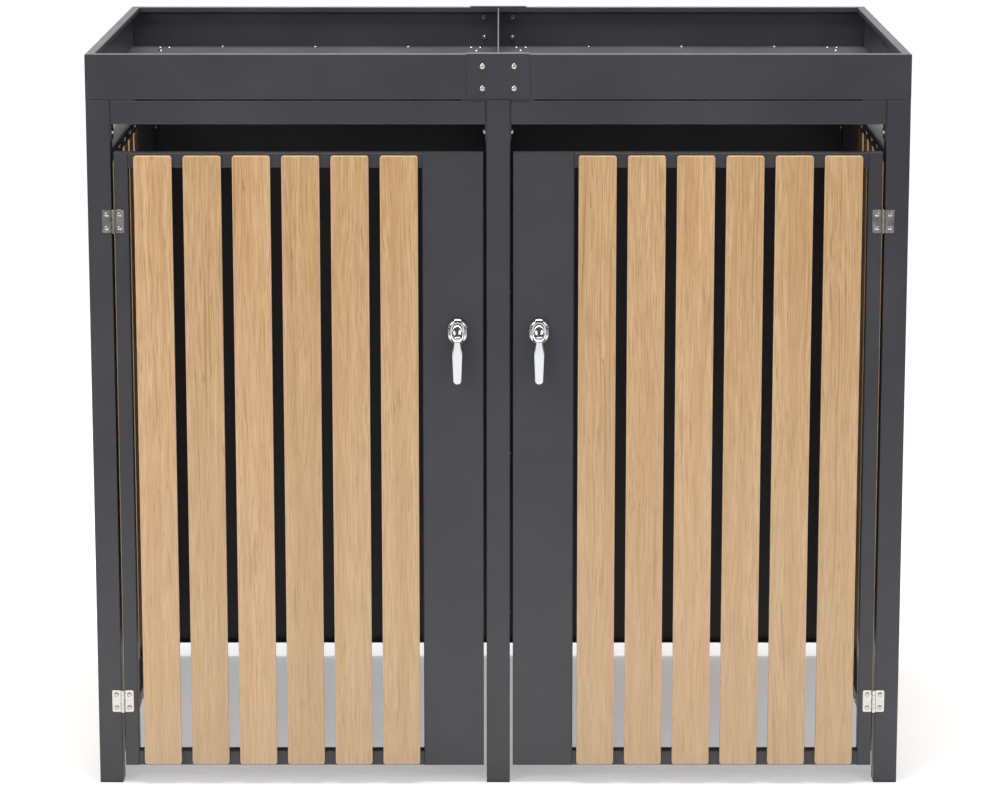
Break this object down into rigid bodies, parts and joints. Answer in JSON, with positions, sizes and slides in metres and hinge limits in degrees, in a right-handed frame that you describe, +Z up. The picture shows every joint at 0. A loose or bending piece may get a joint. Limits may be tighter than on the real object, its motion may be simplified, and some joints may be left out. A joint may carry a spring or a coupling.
{
  "type": "garden storage box",
  "caption": "Garden storage box for wheeled bins: steel tube frame, hinged slatted doors with turning lever handles, slatted sides, closed rear and an open planter tray as its roof.",
  "frame": {"origin": "on the floor under the middle of the whole footprint, levers included", "axes": "+X to the right seen from the front, +Y from the doors to the rear panels, +Z up"},
  "size_m": [1.38, 0.846, 1.2675],
  "materials": {
    "anthracite_steel": "anthracite powder coat, fine matt",
    "wood_look_board": "light oak wood-look board with upright grain",
    "chromed_zinc": "polished chrome",
    "stainless_steel": "plain stainless steel",
    "black_plastic": "matt moulded"
  },
  "bodies": {
    "frame": {"corner_gussets": "anthracite_steel", "cross_headers": "anthracite_steel", "foot_caps": "black_plastic", "frame_bolts": "stainless_steel", "front_joint_plate": "anthracite_steel", "front_left_post": "anthracite_steel", "front_middle_post": "anthracite_steel", "front_right_post": "anthracite_steel", "header_brackets": "anthracite_steel", "hinge_pins": "stainless_steel", "hinge_post_leaves": "stainless_steel", "hinge_post_screws": "stainless_steel", "joint_bolts": "stainless_steel", "joint_nuts": "stainless_steel", "left_front_header": "anthracite_steel", "left_planter_floor": "anthracite_steel", "left_planter_front_wall": "anthracite_steel", "left_planter_rear_wall": "anthracite_steel", "left_planter_side_wall": "anthracite_steel", "left_rear_panel": "anthracite_steel", "left_side_rails": "anthracite_steel", "left_side_slats": "wood_look_board", "planter_divider": "anthracite_steel", "planter_screws": "stainless_steel", "rear_headers": "anthracite_steel", "rear_joint_plate": "anthracite_steel", "rear_left_post": "anthracite_steel", "rear_middle_post": "anthracite_steel", "rear_right_post": "anthracite_steel", "right_front_header": "anthracite_steel", "right_planter_floor": "anthracite_steel", "right_planter_front_wall": "anthracite_steel", "right_planter_rear_wall": "anthracite_steel", "right_planter_side_wall": "anthracite_steel", "right_rear_panel": "anthracite_steel", "right_side_rails": "anthracite_steel", "right_side_slats": "wood_look_board", "wall_screws": "stainless_steel"},
    "left_door": {"left_door_bottom_rail": "anthracite_steel", "left_door_hinge_leaves": "stainless_steel", "left_door_hinge_stile": "anthracite_steel", "left_door_lock_stile": "anthracite_steel", "left_door_screws": "stainless_steel", "left_door_slats": "wood_look_board", "left_door_top_rail": "anthracite_steel", "left_handle_nut": "stainless_steel", "left_handle_rosette": "chromed_zinc"},
    "left_lever": {"left_handle_cam": "stainless_steel", "left_handle_lever": "chromed_zinc"},
    "right_door": {"right_door_bottom_rail": "anthracite_steel", "right_door_hinge_leaves": "stainless_steel", "right_door_hinge_stile": "anthracite_steel", "right_door_lock_stile": "anthracite_steel", "right_door_screws": "stainless_steel", "right_door_slats": "wood_look_board", "right_door_top_rail": "anthracite_steel", "right_handle_nut": "stainless_steel", "right_handle_rosette": "chromed_zinc"},
    "right_lever": {"right_handle_cam": "stainless_steel", "right_handle_lever": "chromed_zinc"}
  },
  "joints": [
    {"name": "left_door_hinge", "type": "hinge", "parent": "frame", "child": "left_door", "pos_m": [-0.6475, -0.3824, 0.565], "axis": [0, 0, -1], "range_deg": [0, 150]},
    {"name": "right_door_hinge", "type": "hinge", "parent": "frame", "child": "right_door", "pos_m": [0.6475, -0.3824, 0.565], "axis": [0, 0, 1], "range_deg": [0, 150]},
    {"name": "left_lever_turn", "type": "hinge", "parent": "left_door", "child": "left_lever", "pos_m": [-0.069, -0.379, 0.801], "axis": [0, 1, 0], "range_deg": [0, 90]},
    {"name": "right_lever_turn", "type": "hinge", "parent": "right_door", "child": "right_lever", "pos_m": [0.069, -0.379, 0.801], "axis": [0, -1, 0], "range_deg": [0, 90]}
  ]
}
